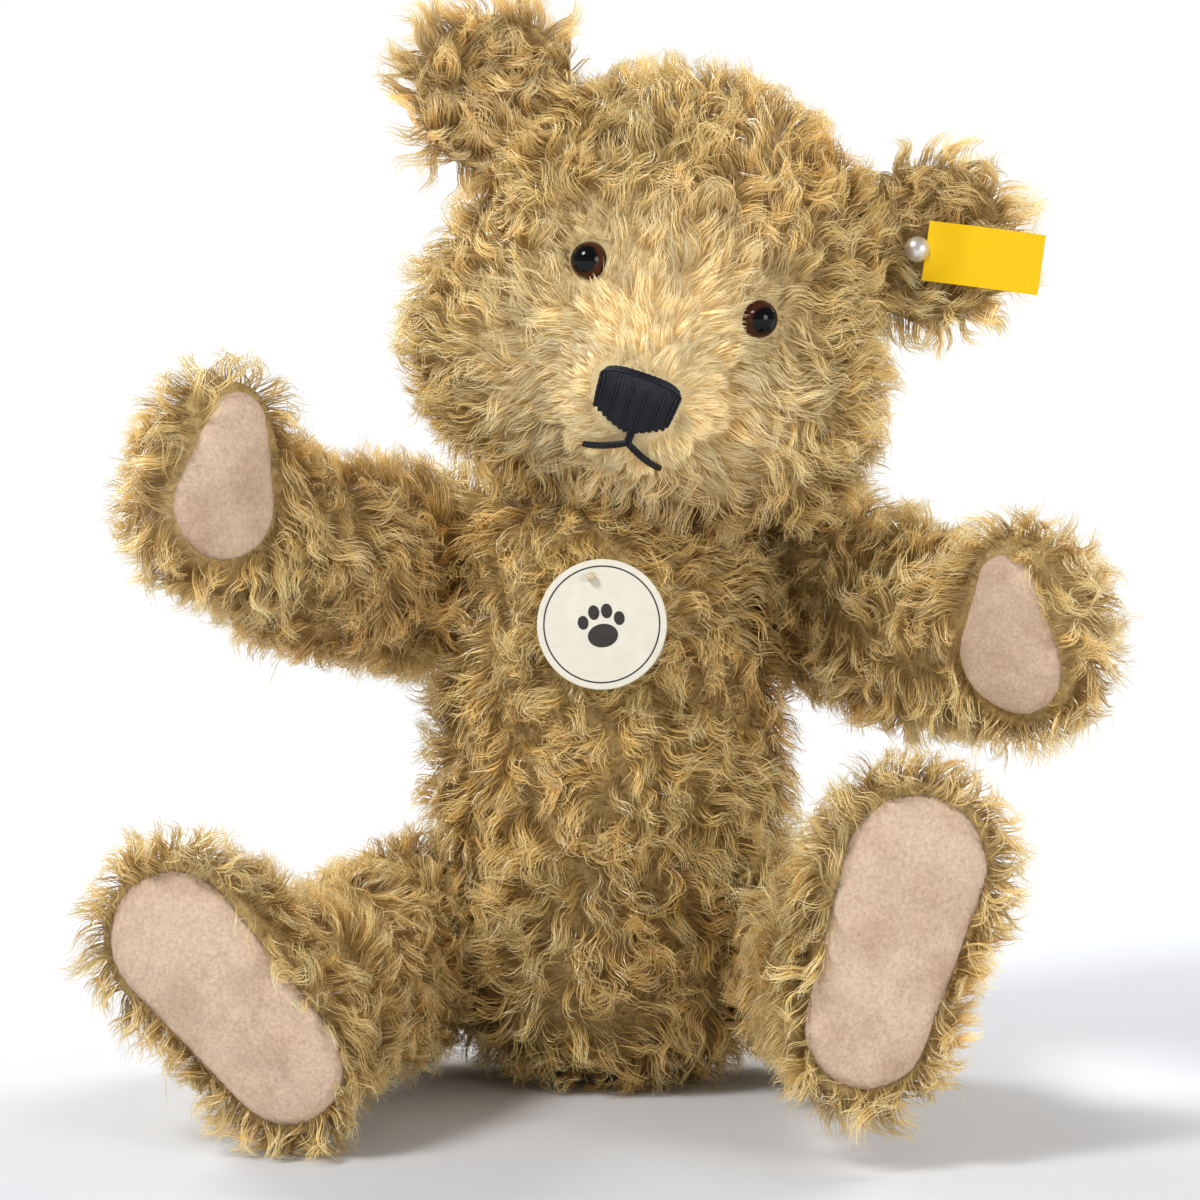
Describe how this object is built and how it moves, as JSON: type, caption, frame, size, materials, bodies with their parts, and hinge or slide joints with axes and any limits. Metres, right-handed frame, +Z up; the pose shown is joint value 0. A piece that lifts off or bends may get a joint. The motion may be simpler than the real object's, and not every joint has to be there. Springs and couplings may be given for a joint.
{
  "type": "jointed teddy bear",
  "caption": "Seated soft toy bear with furred covers, felt pads, glass eyes and disc joints at the neck, shoulders and hips.",
  "frame": {"origin": "centre of the flat seat that the bear sits on", "axes": "+Z up from the seat to the crown, the bear looks along -Y, +X towards its left side"},
  "size_m": [0.2215, 0.1597, 0.2562],
  "materials": {
    "mohair": "wavy mohair pile, golden",
    "stuffing": "wood wool and fibre",
    "felt": "wool felt, beige-pink",
    "hardboard": "plain hardboard",
    "steel": "zinc-plated",
    "weight": "plain steel",
    "card": "wound card tube",
    "reed": "plain brass",
    "bellows": "thin glued leather",
    "tag_card": "cream card",
    "thread_pale": "cotton",
    "eye_glass": "polished brown glass",
    "eye_pupil": "polished black",
    "thread_black": "black cotton floss",
    "rivet": "nickel-plated",
    "label": "woven yellow"
  },
  "bodies": {
    "torso": {"torso_cover": "mohair", "torso_stuffing": "stuffing", "torso_neck_disc": "hardboard", "torso_shoulder_discs": "hardboard", "torso_hip_discs": "hardboard", "torso_washers": "steel", "growler_case": "card", "growler_lid": "card", "growler_reed": "reed", "growler_bellows": "bellows", "chest_tag": "tag_card", "chest_tag_thread": "thread_pale"},
    "growler_weight": {"growler_weight": "weight"},
    "head": {"head_cover": "mohair", "head_stuffing": "stuffing", "left_ear": "mohair", "right_ear": "mohair", "left_eye_glass": "eye_glass", "right_eye_glass": "eye_glass", "left_eye_pupil": "eye_pupil", "right_eye_pupil": "eye_pupil", "left_eye_wire": "steel", "right_eye_wire": "steel", "nose_stitching": "thread_black", "mouth_stitching": "thread_black", "head_neck_disc": "hardboard", "neck_bolt": "steel", "neck_nut": "steel", "ear_rivet": "rivet", "ear_rivet_back": "rivet", "ear_label": "label"},
    "left_arm": {"left_arm_cover": "mohair", "left_arm_stuffing": "stuffing", "left_paw_pad": "felt", "left_arm_disc": "hardboard", "left_arm_bolt": "steel", "left_arm_nut": "steel"},
    "right_arm": {"right_arm_cover": "mohair", "right_arm_stuffing": "stuffing", "right_paw_pad": "felt", "right_arm_disc": "hardboard", "right_arm_bolt": "steel", "right_arm_nut": "steel"},
    "left_leg": {"left_leg_cover": "mohair", "left_leg_stuffing": "stuffing", "left_foot_pad": "felt", "left_foot_insole": "hardboard", "left_leg_disc": "hardboard", "left_leg_bolt": "steel", "left_leg_nut": "steel"},
    "right_leg": {"right_leg_cover": "mohair", "right_leg_stuffing": "stuffing", "right_foot_pad": "felt", "right_foot_insole": "hardboard", "right_leg_disc": "hardboard", "right_leg_bolt": "steel", "right_leg_nut": "steel"}
  },
  "joints": [
    {"name": "head_turn", "type": "hinge", "parent": "torso", "child": "head", "pos_m": [0.003, -0.003, 0.146], "axis": [0.171, -0.1736, 0.9698], "continuous": true},
    {"name": "left_shoulder", "type": "hinge", "parent": "torso", "child": "left_arm", "pos_m": [0.03, 0.009, 0.12], "axis": [-0.7826, -0.6225, 0], "range_deg": [-40, 24]},
    {"name": "right_shoulder", "type": "hinge", "parent": "torso", "child": "right_arm", "pos_m": [-0.03, 0.009, 0.12], "axis": [-0.91, 0.4147, 0], "range_deg": [-50, 24]},
    {"name": "left_hip", "type": "hinge", "parent": "torso", "child": "left_leg", "pos_m": [0.029, 0, 0.031], "axis": [-0.9724, -0.2334, 0], "range_deg": [-100, 6]},
    {"name": "right_hip", "type": "hinge", "parent": "torso", "child": "right_leg", "pos_m": [-0.029, 0, 0.031], "axis": [-0.9816, 0.1908, 0], "range_deg": [-100, 8]},
    {"name": "growler_weight_slide", "type": "slide", "parent": "torso", "child": "growler_weight", "axis": [0, 0, 1], "range_m": [0, 0.012], "deforming": ["growler_bellows"]}
  ]
}
